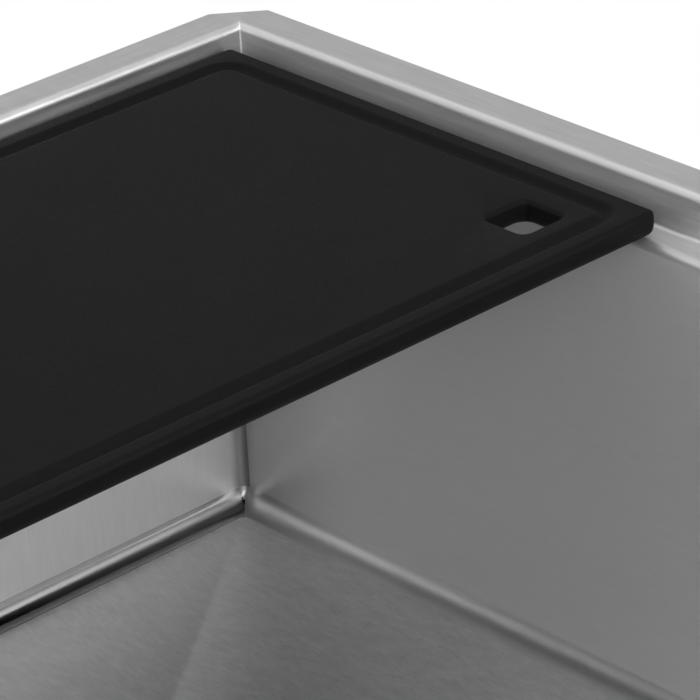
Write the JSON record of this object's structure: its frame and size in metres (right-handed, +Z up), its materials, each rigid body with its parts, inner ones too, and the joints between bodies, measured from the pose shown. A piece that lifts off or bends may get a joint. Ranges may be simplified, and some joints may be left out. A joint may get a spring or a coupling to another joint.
{
  "type": "workstation kitchen sink",
  "caption": "Undermount stainless workstation sink: deep single bowl with ledges, a sliding black cutting board and a basket strainer.",
  "frame": {"origin": "centre of the bowl's opening, in the plane of the rim's top face", "axes": "+X along the back wall to the right, +Y to the back wall, +Z up out of the bowl"},
  "size_m": [0.8128, 0.508, 0.4381],
  "materials": {
    "steel_sheet": "brushed, satin",
    "board_composite": "matt black wood-fibre composite",
    "pad_rubber": "matt",
    "polished_steel": "polished",
    "gasket_foam": "closed-cell foam",
    "black_rubber": "matt",
    "fibre": "pressed fibre",
    "cast_zinc": "cast, dull plated",
    "knob_plastic": "moulded",
    "white_plastic": "moulded",
    "chromed_tube": "bright"
  },
  "bodies": {
    "sink": {"bowl_wrap": "steel_sheet", "left_end_panel": "steel_sheet", "right_end_panel": "steel_sheet", "front_wall_pad": "pad_rubber", "back_wall_pad": "pad_rubber", "left_wall_pad": "pad_rubber", "right_wall_pad": "pad_rubber", "left_floor_pad": "pad_rubber", "right_floor_pad": "pad_rubber", "strainer_body": "polished_steel", "flange_gasket": "gasket_foam", "rubber_washer": "black_rubber", "fibre_washer": "fibre", "locknut": "cast_zinc", "tailpiece_washer": "white_plastic", "tailpiece": "chromed_tube", "coupling_nut": "cast_zinc"},
    "board": {"cutting_board": "board_composite"},
    "basket": {"strainer_basket": "polished_steel", "basket_post": "polished_steel", "basket_knob": "knob_plastic", "basket_seal": "black_rubber", "basket_retainer": "polished_steel"}
  },
  "joints": [
    {"name": "board_slide", "type": "slide", "parent": "sink", "child": "board", "axis": [1, 0, 0], "range_m": [0, 0.493]},
    {"name": "basket_lift", "type": "slide", "parent": "sink", "child": "basket", "axis": [0, 0, 1], "range_m": [0, 0.23]}
  ]
}
